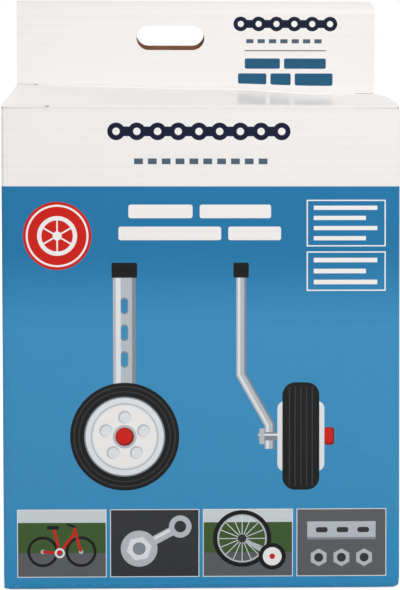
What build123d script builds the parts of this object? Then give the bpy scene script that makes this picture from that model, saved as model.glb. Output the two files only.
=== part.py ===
"""A retail carton of corrugated board, closed as sold, with a folded double header and a hang slot.

The carton is one die-cut sheet. Front, side and back panels wrap round, the bottom flaps are glued,
and one strip of board closes the top: it tucks behind the front panel, runs back as the top panel,
turns up as the header's front layer, folds over the spine and comes down as the back panel.
Millimetres, +Z up, origin at the middle of the base, front panel towards -Y.
"""

import os

from build123d import *

# Board
board = 3.0  # caliper of the corrugated board
crease_inside = 0.5  # inside radius of every fold
seam_gap = 0.8  # between two edges or layers of board that meet

# Body
body_width = 280.0  # across the front panel
body_depth = 112.0  # front panel to back panel, outside
front_height = 342.0  # floor to the cut top edge of the front panel
corner_clearance = 0.4  # floor to the cut lower corners of the front and back panels

# Closing panels
flap_drop = 1.1  # dust flaps' upper face, below the front panel's cut edge
lid_relief = 0.4  # ends of the tuck fold, in from the side panels
tuck_groove = 8.0  # depth of the open groove behind the front panel
top_clearance = 0.4  # top panel above the dust flaps at the tuck fold
top_rise = 6.5  # rise of the top panel from the tuck fold to the header crease

# Header
header_relief = 8.2  # cut ends of the header, in from the side panels
header_height = 65.2  # top panel's crease to the ridge
header_gap = 5.0  # between the header's two layers
spine_drop = 6.0  # front crease of the spine below its rear crease
spine_taper = 3.3  # how much shorter the ridge is at its right end

# Hang slot
slot_length = 50.0
slot_height = 18.0
slot_offset = -18.8  # middle of the slot from the middle of the carton
slot_drop = 27.4  # ridge to the middle of the front layer's slot
slot_slip = 3.0  # rear layer's slot above the front layer's

# Slits along the creases
slit_width = 0.8
slit_depth = 2.2
lock_slit = 32.0  # length of the locking slit at each end of the tuck fold
crease_slit = 14.0  # length of the cut at each end of the header crease

# Worked out from the sizes above
fold_radius = crease_inside + board
fold_middle = crease_inside + board / 2
front_y = -body_depth / 2
back_y = body_depth / 2
front_inner_y = front_y + board
flap_level = front_height - flap_drop
bottom_width = body_width - 2 * fold_radius
lid_width = body_width - 2 * lid_relief
header_width = body_width - 2 * header_relief
header_depth = 2 * board + header_gap
header_face_y = back_y - header_depth
header_middle_y = back_y - header_depth / 2
tuck_y = front_inner_y + seam_gap
lid_z = flap_level + top_clearance + board
crease_z = lid_z + top_rise
ridge_z = crease_z + header_height
slot_z = ridge_z - slot_drop


with BuildPart() as carton:
    # Panels that wrap round, as a plan with a fold at each corner
    with BuildSketch(Plane.XY.offset(board)):
        RectangleRounded(body_width, body_depth, fold_radius)
    extrude(amount=flap_level - board)

    # Side panels seen from the front: they fold in as dust flaps above, and over the bottom flaps below
    with BuildSketch(Plane.XZ):
        with Locations((0, (flap_level + board) / 2)):
            RectangleRounded(body_width, flap_level - board, fold_radius)
    extrude(amount=body_depth, both=True, mode=Mode.INTERSECT)

    # Bottom flaps, folded in from the front and back panels, seen from the side: they meet in the middle
    with BuildSketch(Plane.YZ):
        with BuildLine():
            FilletPolyline(
                (0, board),
                (seam_gap / 2, board),
                (seam_gap / 2, 0),
                (back_y, 0),
                (back_y, board + fold_radius),
                (0, board + fold_radius),
                radius=[0, 0, fold_radius, 0],
            )
            mirror(about=Plane.YZ)
        make_face()
    extrude(amount=bottom_width / 2, both=True)

    # Lower corners of the front and back panels, cut square beside the bottom flaps
    with BuildSketch(Plane.XY.offset(corner_clearance)):
        RectangleRounded(body_width, body_depth, fold_radius)
        Rectangle(body_width, body_depth - 2 * board, mode=Mode.SUBTRACT)
        Rectangle(bottom_width, body_depth, mode=Mode.SUBTRACT)
    extrude(amount=board + fold_radius - corner_clearance)

    # Front panel's cut edge, which stands above the dust flaps
    with BuildSketch(Plane.XY.offset(flap_level - fold_radius)):
        RectangleRounded(body_width, body_depth, fold_radius)
        with Locations((0, front_y + board / 2)):
            Rectangle(body_width, board, mode=Mode.INTERSECT)
    extrude(amount=fold_radius + flap_drop)

    # Groove between the front panel and the tuck flap behind it
    with BuildSketch(Plane.XY.offset(flap_level)):
        with Locations((0, front_inner_y + seam_gap / 2)):
            Rectangle(lid_width, seam_gap)
    extrude(amount=-tuck_groove, mode=Mode.SUBTRACT)

    # Strip that closes the top, along the middle of its board: tuck flap, top panel, header, back panel
    with BuildSketch(Plane.YZ):
        with BuildLine():
            FilletPolyline(
                (tuck_y + board / 2, flap_level - tuck_groove),
                (tuck_y + board / 2, lid_z - board / 2),
                (header_face_y + board / 2, crease_z - board / 2),
                (header_face_y + board / 2, ridge_z - spine_drop),
                (back_y - board / 2, ridge_z),
                (back_y - board / 2, flap_level),
                radius=fold_middle,
            )
        trace(line_width=board)
    extrude(amount=lid_width / 2, both=True)

    # Slanted ends of the top panel, from the tuck fold in to the header, then the header's straight ends
    with BuildSketch(Plane.XY.offset(flap_level)):
        with BuildLine():
            Polyline(
                (body_width / 2, tuck_y + fold_radius),
                (lid_width / 2, tuck_y + fold_radius),
                (header_width / 2, header_face_y - crease_inside),
                (header_width / 2, back_y),
                (body_width / 2, back_y),
                close=True,
            )
        make_face()
        mirror(about=Plane.YZ)
    extrude(amount=ridge_z - flap_level, mode=Mode.SUBTRACT)

    # Slanted right end of the spine
    with BuildSketch(Plane.XZ):
        with BuildLine():
            Polyline(
                (header_width / 2, ridge_z - spine_drop),
                (header_width / 2, ridge_z),
                (header_width / 2 - spine_taper, ridge_z),
                close=True,
            )
        make_face()
    extrude(amount=body_depth, both=True, mode=Mode.SUBTRACT)

    # Hang slot through the front layer, and through the rear layer a little higher
    for slot_middle_z, towards_front in ((slot_z, 1), (slot_z + slot_slip, -1)):
        with BuildSketch(Plane.XZ.offset(-header_middle_y)):
            with Locations((slot_offset, slot_middle_z)):
                SlotOverall(slot_length, slot_height)
        extrude(amount=towards_front * header_depth, mode=Mode.SUBTRACT)

    # Slits at the ends of the tuck fold and of the header crease, square to the turn of the board
    tuck_crest = (
        tuck_y + fold_radius - fold_radius / 2**0.5,
        lid_z - fold_radius + fold_radius / 2**0.5,
    )
    crease_hollow = (
        header_face_y - crease_inside + crease_inside / 2**0.5,
        crease_z + crease_inside - crease_inside / 2**0.5,
    )
    for end in (-1, 1):
        for strip_width, slit_length, slit_place in (
            (lid_width, lock_slit, tuck_crest),
            (header_width, crease_slit, crease_hollow),
        ):
            with BuildSketch(Plane.YZ.offset(end * strip_width / 2)):
                with Locations(Location(slit_place, -45)):
                    Rectangle(2 * slit_depth, slit_width)
            extrude(amount=-end * slit_length, mode=Mode.SUBTRACT)

    # Glued joint: the left side panel's cut edge beside the back panel's fold
    with BuildSketch(Plane.XY.offset(board)):
        with Locations((-body_width / 2 + board / 2, back_y - fold_radius - seam_gap / 2)):
            Rectangle(board, seam_gap)
    extrude(amount=flap_level - board, mode=Mode.SUBTRACT)

carton.part.label = "carton"
os.makedirs("parts", exist_ok=True)
export_step(carton.part, "parts/carton.step")
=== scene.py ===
"""Dresses a hang-tab retail carton of printed corrugated board, folded and tucked shut.

The board is treated as its maker treats it: each sheet is laid out flat, printed and cut, and then
folded along the middle of the board, so print, slots and slits turn with the creases. Each sheet has
a printed outer liner, a fluted core that stops short of the cut edges, and a plain inner liner.
Flat layouts are in millimetres, meshes in metres. +Z is up and the front panel faces -Y.
"""

import logging
import math
from dataclasses import dataclass, field
from enum import Enum

import bpy
from mathutils import Color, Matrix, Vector
from mathutils.geometry import delaunay_2d_cdt


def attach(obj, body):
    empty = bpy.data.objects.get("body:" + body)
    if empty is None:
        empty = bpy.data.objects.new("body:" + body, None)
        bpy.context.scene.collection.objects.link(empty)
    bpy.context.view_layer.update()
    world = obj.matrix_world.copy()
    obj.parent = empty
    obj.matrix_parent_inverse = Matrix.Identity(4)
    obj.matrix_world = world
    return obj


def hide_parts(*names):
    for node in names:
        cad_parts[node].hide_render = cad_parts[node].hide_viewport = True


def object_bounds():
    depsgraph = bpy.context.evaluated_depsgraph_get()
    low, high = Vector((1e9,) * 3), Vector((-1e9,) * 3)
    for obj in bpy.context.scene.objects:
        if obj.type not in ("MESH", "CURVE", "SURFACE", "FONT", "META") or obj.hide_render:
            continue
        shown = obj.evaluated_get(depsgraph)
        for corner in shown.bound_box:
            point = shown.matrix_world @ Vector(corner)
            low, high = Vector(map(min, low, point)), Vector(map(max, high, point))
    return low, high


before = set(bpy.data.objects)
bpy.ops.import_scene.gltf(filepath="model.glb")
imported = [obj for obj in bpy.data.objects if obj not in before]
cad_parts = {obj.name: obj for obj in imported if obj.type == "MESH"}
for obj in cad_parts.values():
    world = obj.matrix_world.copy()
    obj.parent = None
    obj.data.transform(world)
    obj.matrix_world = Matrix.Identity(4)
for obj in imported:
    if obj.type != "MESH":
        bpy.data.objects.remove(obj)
CAD_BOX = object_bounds()

LOG = logging.getLogger("carton")
NODE = "carton"
BODY = "root"
MM = 0.001
BYTE = 255
IMAGE_HEIGHT = 590

# Angles, in degrees
FULL_TURN = 360.0
QUARTER_TURN = 90.0
SHARP_ANGLE = 40.0

# Fineness of outlines
DISC_SIDES = 56
JOINT_SIDES = 16
ROUND_STEPS = 8

# Dividing of flat sheets, in millimetres: longest step, rubbed band along cut edges, distance at which
# the divider takes points as one, and decimal places of points, so that points that meet are the same
GRID = 14.0
WEAR = 0.9
CLOSENESS = 1e-4
PLACES = 3
INSIDE_TRIANGLES = 1

# How far an all-over field of ink runs past a sheet, in millimetres
OVERPRINT = 5.0

Point = tuple[float, float]
Place = tuple[float, float, float]
Outline = list[Point]
Colour = tuple[float, float, float, float]
Socket = bpy.types.NodeSocket


@dataclass(frozen=True)
class CartonSizes:
    """Sizes of the folded carton, in millimetres.

    Attributes:
        half_width: middle to the outside of a side panel.
        half_depth: middle to the outside of the front or back panel.
        board: caliper of the corrugated board.
        liner: thickness of each liner.
        core_setback: how far the fluted core stops short of a cut edge.
        flute_pitch: distance from flute to flute.
        crease_middle: crease radius on the middle of the board.
        seam: gap between two edges of board that meet.
        front_height: floor to the front panel's cut edge.
        flap_drop: dust flaps' upper face, below the front panel's cut edge.
        tuck_reach: tuck flap's end, below the dust flaps' upper face.
        top_clearance: top panel above the dust flaps at the tuck fold.
        top_rise: rise of the top panel from the tuck fold to the header crease.
        header_height: header crease to the sharp corner of the ridge.
        header_gap: between the header's two layers.
        spine_drop: front crease of the spine below the ridge.
        spine_taper: how much shorter the ridge is at its right end.
        lid_relief: ends of the tuck fold, in from the side panels.
        header_relief: cut ends of the header, in from the side panels.
    """

    half_width: float = CAD_BOX[1][0] / MM
    half_depth: float = CAD_BOX[1][1] / MM
    board: float = 3.0
    liner: float = 0.35
    core_setback: float = 0.9
    flute_pitch: float = 6.45
    crease_middle: float = 2.0
    seam: float = 0.8
    front_height: float = 342.0
    flap_drop: float = 1.1
    tuck_reach: float = 8.0
    top_clearance: float = 0.4
    top_rise: float = 6.5
    header_height: float = 65.2
    header_gap: float = 5.0
    spine_drop: float = 6.0
    spine_taper: float = 3.3
    lid_relief: float = 0.4
    header_relief: float = 8.2

    @property
    def half_board(self) -> float:
        """Half the caliper."""
        return self.board / 2

    @property
    def fold_radius(self) -> float:
        """Crease radius on the printed face."""
        return self.crease_middle + self.half_board

    @property
    def side(self) -> float:
        """Middle of the carton to the middle of a side panel's board."""
        return self.half_width - self.half_board

    @property
    def face(self) -> float:
        """Middle of the carton to the middle of the front or back panel's board."""
        return self.half_depth - self.half_board

    @property
    def flap_level(self) -> float:
        """Floor to the upper face of the dust flaps."""
        return self.front_height - self.flap_drop

    @property
    def tuck_y(self) -> float:
        """Printed face of the tuck flap, behind the front panel."""
        return -self.half_depth + self.board + self.seam

    @property
    def lid_z(self) -> float:
        """Printed face of the top panel at the tuck fold."""
        return self.flap_level + self.top_clearance + self.board

    @property
    def crease_z(self) -> float:
        """Printed face of the top panel at the header crease."""
        return self.lid_z + self.top_rise

    @property
    def ridge_z(self) -> float:
        """Sharp corner of the header's ridge."""
        return self.crease_z + self.header_height

    @property
    def header_face_y(self) -> float:
        """Printed face of the header's front layer."""
        return self.half_depth - 2 * self.board - self.header_gap

    @property
    def lid_half(self) -> float:
        """Half the width of the tuck fold."""
        return self.half_width - self.lid_relief

    @property
    def header_half(self) -> float:
        """Half the width of the header."""
        return self.half_width - self.header_relief


class Ink(Enum):
    """Colours of the print and of bare board, as 8-bit sRGB."""

    WHITE = (243, 240, 238)
    BLUE = (32, 119, 168)
    PALE_BLUE = (58, 142, 190)
    LOW_BLUE = (46, 141, 192)
    TEAL = (32, 88, 122)
    NAVY = (5, 16, 48)
    SLATE = (78, 96, 112)
    RED = (206, 28, 14)
    DARK_RED = (142, 12, 10)
    BLACK = (8, 8, 9)
    CHARCOAL = (48, 49, 52)
    STEEL = (186, 191, 196)
    BRIGHT = (228, 231, 234)
    SHADE = (134, 140, 147)
    ROAD = (92, 94, 97)
    HEDGE = (60, 88, 42)
    SKY = (206, 214, 216)
    LINER_EDGE = (204, 197, 189)

    def linear(self) -> Colour:
        """The colour as linear RGBA."""
        shares = Color([channel / BYTE for channel in self.value])
        return (*shares.from_srgb_to_scene_linear(), 1.0)


class Lie(Enum):
    """Plane of a sheet's fold path: which of path x, path y and place across give X, Y and Z."""

    PLAN = (0, 1, 2)
    SIDE = (2, 0, 1)
    FRONT = (0, 2, 1)

    def place(self, along: Vector, across: float) -> Vector:
        """Puts a point of the fold path, at a place along the sheet's creases, into space."""
        values = (along.x, along.y, across)
        return Vector([values[index] for index in self.value])


class Layer(Enum):
    """Layers of corrugated board, numbered from the printed side in."""

    OUTER = 0
    CORE = 1
    INNER = 2

    def reach(self, sizes: CartonSizes) -> Point:
        """Upper and lower face of the layer, from the middle of the board towards the printed side.

        Args:
            sizes: sizes of the carton.

        Returns:
            The two heights.
        """
        outside = sizes.half_board
        inside = outside - sizes.liner
        faces = (outside, inside, -inside, -outside)
        return faces[self.value], faces[self.value + 1]


def clamp(share: float) -> float:
    """Holds a share between 0 and 1."""
    return min(max(share, 0.0), 1.0)


def smooth(share: float) -> float:
    """Eases a share from 0 to 1, and holds it there outside."""
    share = clamp(share)
    return share * share * (3.0 - 2.0 * share)


def crown(share: float) -> float:
    """How far a bowed panel stands out, from 1 in its middle to 0 at its edges."""
    return max(0.0, 1.0 - share * share)


def on_circle(middle: Point, radius: float, degrees: float) -> Point:
    """A point on a circle, at an angle from its right side."""
    angle = math.radians(degrees)
    return middle[0] + radius * math.cos(angle), middle[1] + radius * math.sin(angle)


def polygon(middle: Point, radius: float, sides: int, turn: float = 0.0) -> Outline:
    """A regular polygon, counter-clockwise, or with many sides a disc."""
    return [on_circle(middle, radius, turn + FULL_TURN * side / sides) for side in range(sides)]


def rectangle(left: float, bottom: float, right: float, top: float) -> Outline:
    """A rectangle, counter-clockwise."""
    return [(left, bottom), (right, bottom), (right, top), (left, top)]


def pill(left: float, bottom: float, right: float, top: float, radius: float) -> Outline:
    """A rectangle with round corners.

    Args:
        left: left side.
        bottom: lower side.
        right: right side.
        top: upper side.
        radius: corner radius.

    Returns:
        The outline, counter-clockwise.
    """
    sides = (left + radius, right - radius)
    ends = (bottom + radius, top - radius)
    middles = ((sides[1], ends[1]), (sides[0], ends[1]), (sides[0], ends[0]), (sides[1], ends[0]))
    outline = []
    for quarter, middle in enumerate(middles):
        for step in range(ROUND_STEPS + 1):
            outline.append(on_circle(middle, radius, QUARTER_TURN * (quarter + step / ROUND_STEPS)))
    return outline


def inset(outline: Outline, amount: float) -> Outline:
    """Moves each side of a counter-clockwise outline inwards, with mitred corners.

    Args:
        outline: corners of the outline.
        amount: distance inwards, negative to grow.

    Returns:
        The moved outline.
    """
    moved = []
    count = len(outline)
    for index, corner in enumerate(outline):
        here = Vector(corner)
        before = here - Vector(outline[index - 1])
        after = Vector(outline[(index + 1) % count]) - here
        first = Vector((-before.y, before.x)).normalized()
        second = Vector((-after.y, after.x)).normalized()
        mitre = (first + second) / (1.0 + first.dot(second))
        moved.append(tuple(here + amount * mitre))
    return moved


@dataclass(frozen=True)
class Disc:
    """A disc of ink, or with few sides a regular polygon.

    Attributes:
        ink: its colour.
        middle: its middle.
        radius: radius of its corners.
        sides: number of sides.
        turn: turn in degrees.
    """

    ink: Ink
    middle: Point
    radius: float
    sides: int = DISC_SIDES
    turn: float = 0.0

    def outlines(self) -> list[Outline]:
        """Its one outline."""
        return [polygon(self.middle, self.radius, self.sides, self.turn)]


@dataclass(frozen=True)
class Ring:
    """A ring of ink, laid as short blocks, so that what is inside it stays.

    Attributes:
        ink: its colour.
        middle: its middle.
        outer: outer radius.
        inner: inner radius.
    """

    ink: Ink
    middle: Point
    outer: float
    inner: float

    def outlines(self) -> list[Outline]:
        """Its blocks."""
        inside, outside = (polygon(self.middle, radius, DISC_SIDES) for radius in (self.inner, self.outer))
        return [[inside[i - 1], outside[i - 1], outside[i], inside[i]] for i in range(DISC_SIDES)]


@dataclass(frozen=True)
class Bar:
    """A box of ink, with round corners where it has a radius.

    Attributes:
        ink: its colour.
        left: left side.
        bottom: lower side.
        right: right side.
        top: upper side.
        radius: corner radius.
    """

    ink: Ink
    left: float
    bottom: float
    right: float
    top: float
    radius: float = 0.0

    def outlines(self) -> list[Outline]:
        """Its one outline."""
        box = (self.left, self.bottom, self.right, self.top)
        return [pill(*box, self.radius) if self.radius else rectangle(*box)]


@dataclass(frozen=True)
class Line:
    """A line of ink of even width, with round joints.

    Attributes:
        ink: its colour.
        points: its ends and corners.
        width: its width.
    """

    ink: Ink
    points: tuple[Point, ...]
    width: float

    def outlines(self) -> list[Outline]:
        """Cuts the line into simple shapes.

        Returns:
            A block for each run, and a disc for each joint.
        """
        blocks = []
        for start, end in zip(map(Vector, self.points), map(Vector, self.points[1:])):
            run = end - start
            side = Vector((-run.y, run.x)).normalized() * self.width / 2
            corners = (start - side, end - side, end + side, start + side)
            blocks.append([tuple(corner) for corner in corners])
        return blocks + [polygon(joint, self.width / 2, JOINT_SIDES) for joint in self.points[1:-1]]


Shape = Disc | Ring | Bar | Line
Areas = list[tuple[Ink, Outline]]


@dataclass(frozen=True)
class Print:
    """Drawings on one panel, in millimetres.

    Attributes:
        drawings: the drawings, the lowest first, each as its shapes and the place of its own origin.
    """

    drawings: tuple[tuple[list[Shape], Point], ...]

    def areas(self, middle: float = 0.0) -> Areas:
        """Turns the drawings into flat fields of ink.

        Args:
            middle: middle of the panel along its sheet.

        Returns:
            Ink and outline of each field, the lowest first.
        """
        return [
            (shape.ink, [(x + left + middle, y + bottom) for x, y in outline])
            for shapes, (left, bottom) in self.drawings
            for shape in shapes
            for outline in shape.outlines()
        ]


def spokes(
    ink: Ink, middle: Point, reach: float, width: float, count: int, turn: float = 0.0
) -> list[Line]:
    """Lines right across a wheel, at even angles."""
    ends = polygon(middle, reach, 2 * count, turn)
    return [Line(ink, pair, width) for pair in zip(ends[count:], ends)]


def dashes(count: int, pitch: float, width: float, height: float) -> list[Bar]:
    """A row of dashes, from the lower left corner of its first one."""
    return [Bar(Ink.SLATE, index * pitch, 0.0, index * pitch + width, height) for index in range(count)]


def bars(ink: Ink, rows: dict[float, list[Point]], height: float, radius: float) -> list[Bar]:
    """Bars with round corners, given by the foot of each row and the left and right ends in it."""
    spans = [(low, left, right) for low, row in rows.items() for left, right in row]
    return [Bar(ink, left, low, right, low + height, radius) for low, left, right in spans]


def chain(links: int, pitch: float, radius: float) -> list[Shape]:
    """A row of chain links, from the middle of its first disc: discs with a hole, joined by plates.

    Args:
        links: number of plates.
        pitch: distance from disc to disc.
        radius: radius of the discs.

    Returns:
        The shapes, the lowest first.
    """
    plate_share, hole_share = 0.55, 0.42
    disc_sides, hole_sides = 32, 24
    half_plate = plate_share * radius
    middles = [(link * pitch, 0.0) for link in range(links + 1)]
    discs = [Disc(Ink.NAVY, middle, radius, disc_sides) for middle in middles]
    holes = [Disc(Ink.WHITE, middle, hole_share * radius, hole_sides) for middle in middles]
    return [Bar(Ink.NAVY, 0.0, -half_plate, links * pitch, half_plate), *discs, *holes]


def ruled_box(width: float, height: float, rows: int) -> list[Bar]:
    """An outlined box with rows of bars in it, from its lower left corner.

    Args:
        width: width of the box.
        height: height of the box.
        rows: number of bars.

    Returns:
        The box's four sides, and the bars.
    """
    line, indent, end, shorter = 0.9, 5.0, 6.0, 8.0
    spare_rows, bar_share = 0.6, 0.42
    box = [
        Bar(Ink.WHITE, 0.0, 0.0, width, line),
        Bar(Ink.WHITE, 0.0, height - line, width, height),
        Bar(Ink.WHITE, 0.0, line, line, height - line),
        Bar(Ink.WHITE, width - line, line, width, height - line),
    ]
    pitch = height / (rows + spare_rows)
    for row in range(rows):
        low = height - pitch * (row + 1.0)
        right = width - end - shorter * (row % 2)
        box.append(Bar(Ink.WHITE, indent, low, right, low + bar_share * pitch))
    return box


# Sizes that the front's drawings share, in millimetres
FIELD_TOP = 287.4
PRINT_MARGIN = 129.7
BOX_LEFT = 74.0
ARM_TOP = 123.0
PICTURE_COUNT = 4
PICTURE_GAP = 3.6
PICTURE_FOOT = 9.6
PICTURE_HEIGHT = 47.8
PICTURE_WIDTH = (2 * PRINT_MARGIN - (PICTURE_COUNT - 1) * PICTURE_GAP) / PICTURE_COUNT
PICTURE_MIDDLE = PICTURE_WIDTH / 2
PICTURE_LINE = 0.5
ORIGIN = (0.0, 0.0)

# Red roundel with a white wheel
ROUNDEL = [
    Disc(Ink.RED, ORIGIN, 24.0),
    Ring(Ink.WHITE, ORIGIN, 22.0, 20.6),
    Ring(Ink.WHITE, ORIGIN, 14.0, 11.0),
    *spokes(Ink.WHITE, ORIGIN, reach=11.6, width=1.1, count=3, turn=30.0),
    Disc(Ink.WHITE, ORIGIN, 3.2, sides=24),
]

# Small wheel seen from its face, with a slotted arm behind it, from its hub
ARM_SLOTS = [50.0 + 19.0 * slot for slot in range(3)]
LOBES = polygon(ORIGIN, 14.0, sides=5, turn=90.0)
WHEEL_FACE = [
    Bar(Ink.STEEL, -8.0, 0.0, 8.0, ARM_TOP),
    Bar(Ink.BRIGHT, -6.0, 0.0, -2.6, ARM_TOP),
    Bar(Ink.SHADE, 5.4, 0.0, 8.0, ARM_TOP),
    Bar(Ink.BLACK, -9.0, ARM_TOP - 10.0, 9.0, ARM_TOP + 0.6, radius=1.0),
    *(Bar(Ink.SHADE, -2.7, low - 0.8, 2.7, low + 11.0, radius=2.6) for low in ARM_SLOTS),
    *(Bar(Ink.BLUE, -2.1, low, 2.1, low + 10.0, radius=2.0) for low in ARM_SLOTS),
    Disc(Ink.BLACK, ORIGIN, 38.5, sides=96),
    Ring(Ink.CHARCOAL, ORIGIN, 36.2, 35.2),
    Ring(Ink.CHARCOAL, ORIGIN, 32.6, 31.8),
    Disc(Ink.SHADE, ORIGIN, 28.6, sides=80),
    Disc(Ink.BRIGHT, ORIGIN, 27.6, sides=80),
    Ring(Ink.STEEL, ORIGIN, 24.0, 23.0),
    Disc(Ink.WHITE, ORIGIN, 22.0, sides=72),
    *(Disc(Ink.STEEL, lobe, 4.6, sides=28) for lobe in LOBES),
    *(Disc(Ink.BRIGHT, (x + 0.5, y - 0.5), 3.9, sides=28) for x, y in LOBES),
    Disc(Ink.STEEL, ORIGIN, 8.4, sides=40),
    Disc(Ink.DARK_RED, ORIGIN, 6.6, sides=40),
    Disc(Ink.RED, (-0.5, 0.5), 5.6, sides=40),
]

# Small wheel seen edge-on, with its cranked arm, from its hub
ARM_X = -42.0
ARM_BENDS = ((ARM_X, ARM_TOP - 6.0), (ARM_X, 44.0), (-22.0, 8.0), (-22.0, -9.0))
ARM_TONES = ((Ink.SHADE, 0.0, 7.0), (Ink.STEEL, 0.6, 5.4), (Ink.BRIGHT, 1.4, 1.6))
WHEEL_EDGE = [
    *(Line(ink, tuple((x - shift, y) for x, y in ARM_BENDS), width) for ink, shift, width in ARM_TONES),
    Bar(Ink.BLACK, ARM_X - 5.4, ARM_TOP - 10.0, ARM_X + 5.4, ARM_TOP + 0.6, radius=1.0),
    Bar(Ink.SHADE, -30.0, -3.0, -10.0, 3.0),
    Bar(Ink.BRIGHT, -30.0, 0.4, -10.0, 1.8),
    Bar(Ink.STEEL, -29.0, -5.6, -25.6, 5.6),
    Bar(Ink.BRIGHT, -16.5, -25.0, 16.5, 25.0, radius=5.0),
    Bar(Ink.BLACK, -13.0, -38.5, 13.0, 38.5, radius=9.0),
    *(Bar(Ink.CHARCOAL, groove - 0.5, -35.5, groove + 0.5, 35.5) for groove in (-8.0, -4.0, 0.0, 4.0, 8.0)),
    Bar(Ink.DARK_RED, 16.5, -6.4, 23.5, 6.4, radius=2.0),
    Bar(Ink.RED, 16.5, -4.6, 22.6, 5.8, radius=2.0),
]

# Road, hedge and sky behind two of the pictures, each picture from its lower left corner
LANE = [
    Bar(Ink.SKY, 0.0, 0.0, PICTURE_WIDTH, PICTURE_HEIGHT),
    Bar(Ink.HEDGE, 0.0, 0.0, PICTURE_WIDTH, PICTURE_HEIGHT - 9.0),
    Bar(Ink.ROAD, 0.0, 0.0, PICTURE_WIDTH, 17.0),
]

# Bicycle from the side
WHEELS = [(PICTURE_MIDDLE + shift, 18.0) for shift in (-13.5, 13.5)]
CRANK = (PICTURE_MIDDLE - 1.5, 17.0)
SADDLE = (PICTURE_MIDDLE - 5.5, 34.0)
STEM = (PICTURE_MIDDLE + 8.5, 36.0)
CYCLE = [
    *(Ring(Ink.BLACK, wheel, 11.0, 9.0) for wheel in WHEELS),
    *(Disc(Ink.STEEL, wheel, 1.6, sides=16) for wheel in WHEELS),
    Line(Ink.RED, (WHEELS[0], CRANK, (STEM[0] + 0.8, STEM[1] - 4.0)), 1.9),
    Line(Ink.RED, (CRANK, SADDLE), 1.9),
    Line(Ink.RED, (STEM, WHEELS[1]), 1.9),
    Line(Ink.BLACK, ((STEM[0] - 5.0, STEM[1] + 2.0), STEM, (STEM[0] + 1.0, STEM[1])), 1.6),
    Bar(Ink.BLACK, SADDLE[0] - 5.0, SADDLE[1], SADDLE[0] + 3.6, SADDLE[1] + 2.6, radius=1.2),
    Ring(Ink.BRIGHT, CRANK, 3.6, 2.2),
]

# Spanner on a nut
NUT = (20.0, 20.0)
SPANNER_END = (PICTURE_WIDTH - 13.0, PICTURE_HEIGHT - 12.0)
SPANNER = [
    Bar(Ink.CHARCOAL, 0.0, 0.0, PICTURE_WIDTH, PICTURE_HEIGHT),
    Line(Ink.STEEL, (NUT, SPANNER_END), 6.4),
    Line(Ink.BRIGHT, tuple((x - 0.8, y + 0.9) for x, y in (NUT, SPANNER_END)), 2.0),
    Disc(Ink.STEEL, NUT, 13.0),
    Disc(Ink.STEEL, SPANNER_END, 8.0),
    Disc(Ink.CHARCOAL, SPANNER_END, 4.2),
    Disc(Ink.BRIGHT, NUT, 9.0, sides=6, turn=12.0),
    Disc(Ink.SHADE, NUT, 4.6),
]

# Large wheel with a small one beside it
LARGE_HUB = (27.0, 27.0)
SMALL_HUB = (PICTURE_WIDTH - 14.0, 14.0)
WHEEL_PAIR = [
    *spokes(Ink.BRIGHT, LARGE_HUB, reach=17.6, width=0.5, count=8),
    Ring(Ink.BLACK, LARGE_HUB, 20.5, 17.4),
    Ring(Ink.STEEL, LARGE_HUB, 17.4, 16.2),
    Line(Ink.STEEL, (LARGE_HUB, SMALL_HUB), 3.0),
    Disc(Ink.CHARCOAL, LARGE_HUB, 3.0, sides=24),
    Disc(Ink.BLACK, SMALL_HUB, 9.6),
    Disc(Ink.WHITE, SMALL_HUB, 6.6),
    Disc(Ink.RED, SMALL_HUB, 2.0, sides=24),
]

# Slotted bar with nuts
NUTS = [(PICTURE_MIDDLE + shift, 13.0) for shift in (-16.0, 0.0, 16.0)]
BAR_SLOTS = [13.0 + 14.6 * slot for slot in range(3)]
FITTINGS = [
    Bar(Ink.ROAD, 0.0, 0.0, PICTURE_WIDTH, PICTURE_HEIGHT),
    Bar(Ink.SHADE, 7.0, 26.0, PICTURE_WIDTH - 7.0, 39.0),
    Bar(Ink.STEEL, 7.0, 27.6, PICTURE_WIDTH - 7.0, 39.0),
    *(Bar(Ink.CHARCOAL, left, 31.1, left + 8.4, 34.9, radius=1.8) for left in BAR_SLOTS),
    *(Disc(Ink.STEEL, nut, 6.4, sides=6, turn=30.0) for nut in NUTS),
    *(Disc(Ink.CHARCOAL, nut, 3.2, sides=28) for nut in NUTS),
]

PICTURES = (LANE + CYCLE, SPANNER, LANE + WHEEL_PAIR, FITTINGS)
PICTURE_SIDES = (PICTURE_WIDTH + PICTURE_LINE, PICTURE_HEIGHT + PICTURE_LINE)
BORDER = Bar(Ink.WHITE, -PICTURE_LINE, -PICTURE_LINE, *PICTURE_SIDES)
TITLE = {265.0: [(-51.0, -6.0), (-1.0, 49.0)], 249.5: [(-58.0, 14.0), (19.0, 56.0)]}
FRONT_PRINT = Print(
    (
        (chain(links=8, pitch=14.5, radius=6.2), (-59.5, 326.0)),
        (dashes(count=10, pitch=9.7, width=6.2, height=4.0), (-47.0, 303.0)),
        (bars(Ink.WHITE, TITLE, height=9.6, radius=1.6), ORIGIN),
        (ROUNDEL, (-101.0, 252.5)),
        (ruled_box(PRINT_MARGIN - BOX_LEFT, height=33.0, rows=4), (BOX_LEFT, 245.0)),
        (ruled_box(PRINT_MARGIN - BOX_LEFT, height=28.0, rows=3), (BOX_LEFT, 213.5)),
        (WHEEL_FACE, (-54.0, 110.0)),
        (WHEEL_EDGE, (70.0, 110.0)),
        *(
            ([BORDER, *picture], (index * (PICTURE_WIDTH + PICTURE_GAP) - PRINT_MARGIN, PICTURE_FOOT))
            for index, picture in enumerate(PICTURES)
        ),
    )
)

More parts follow.
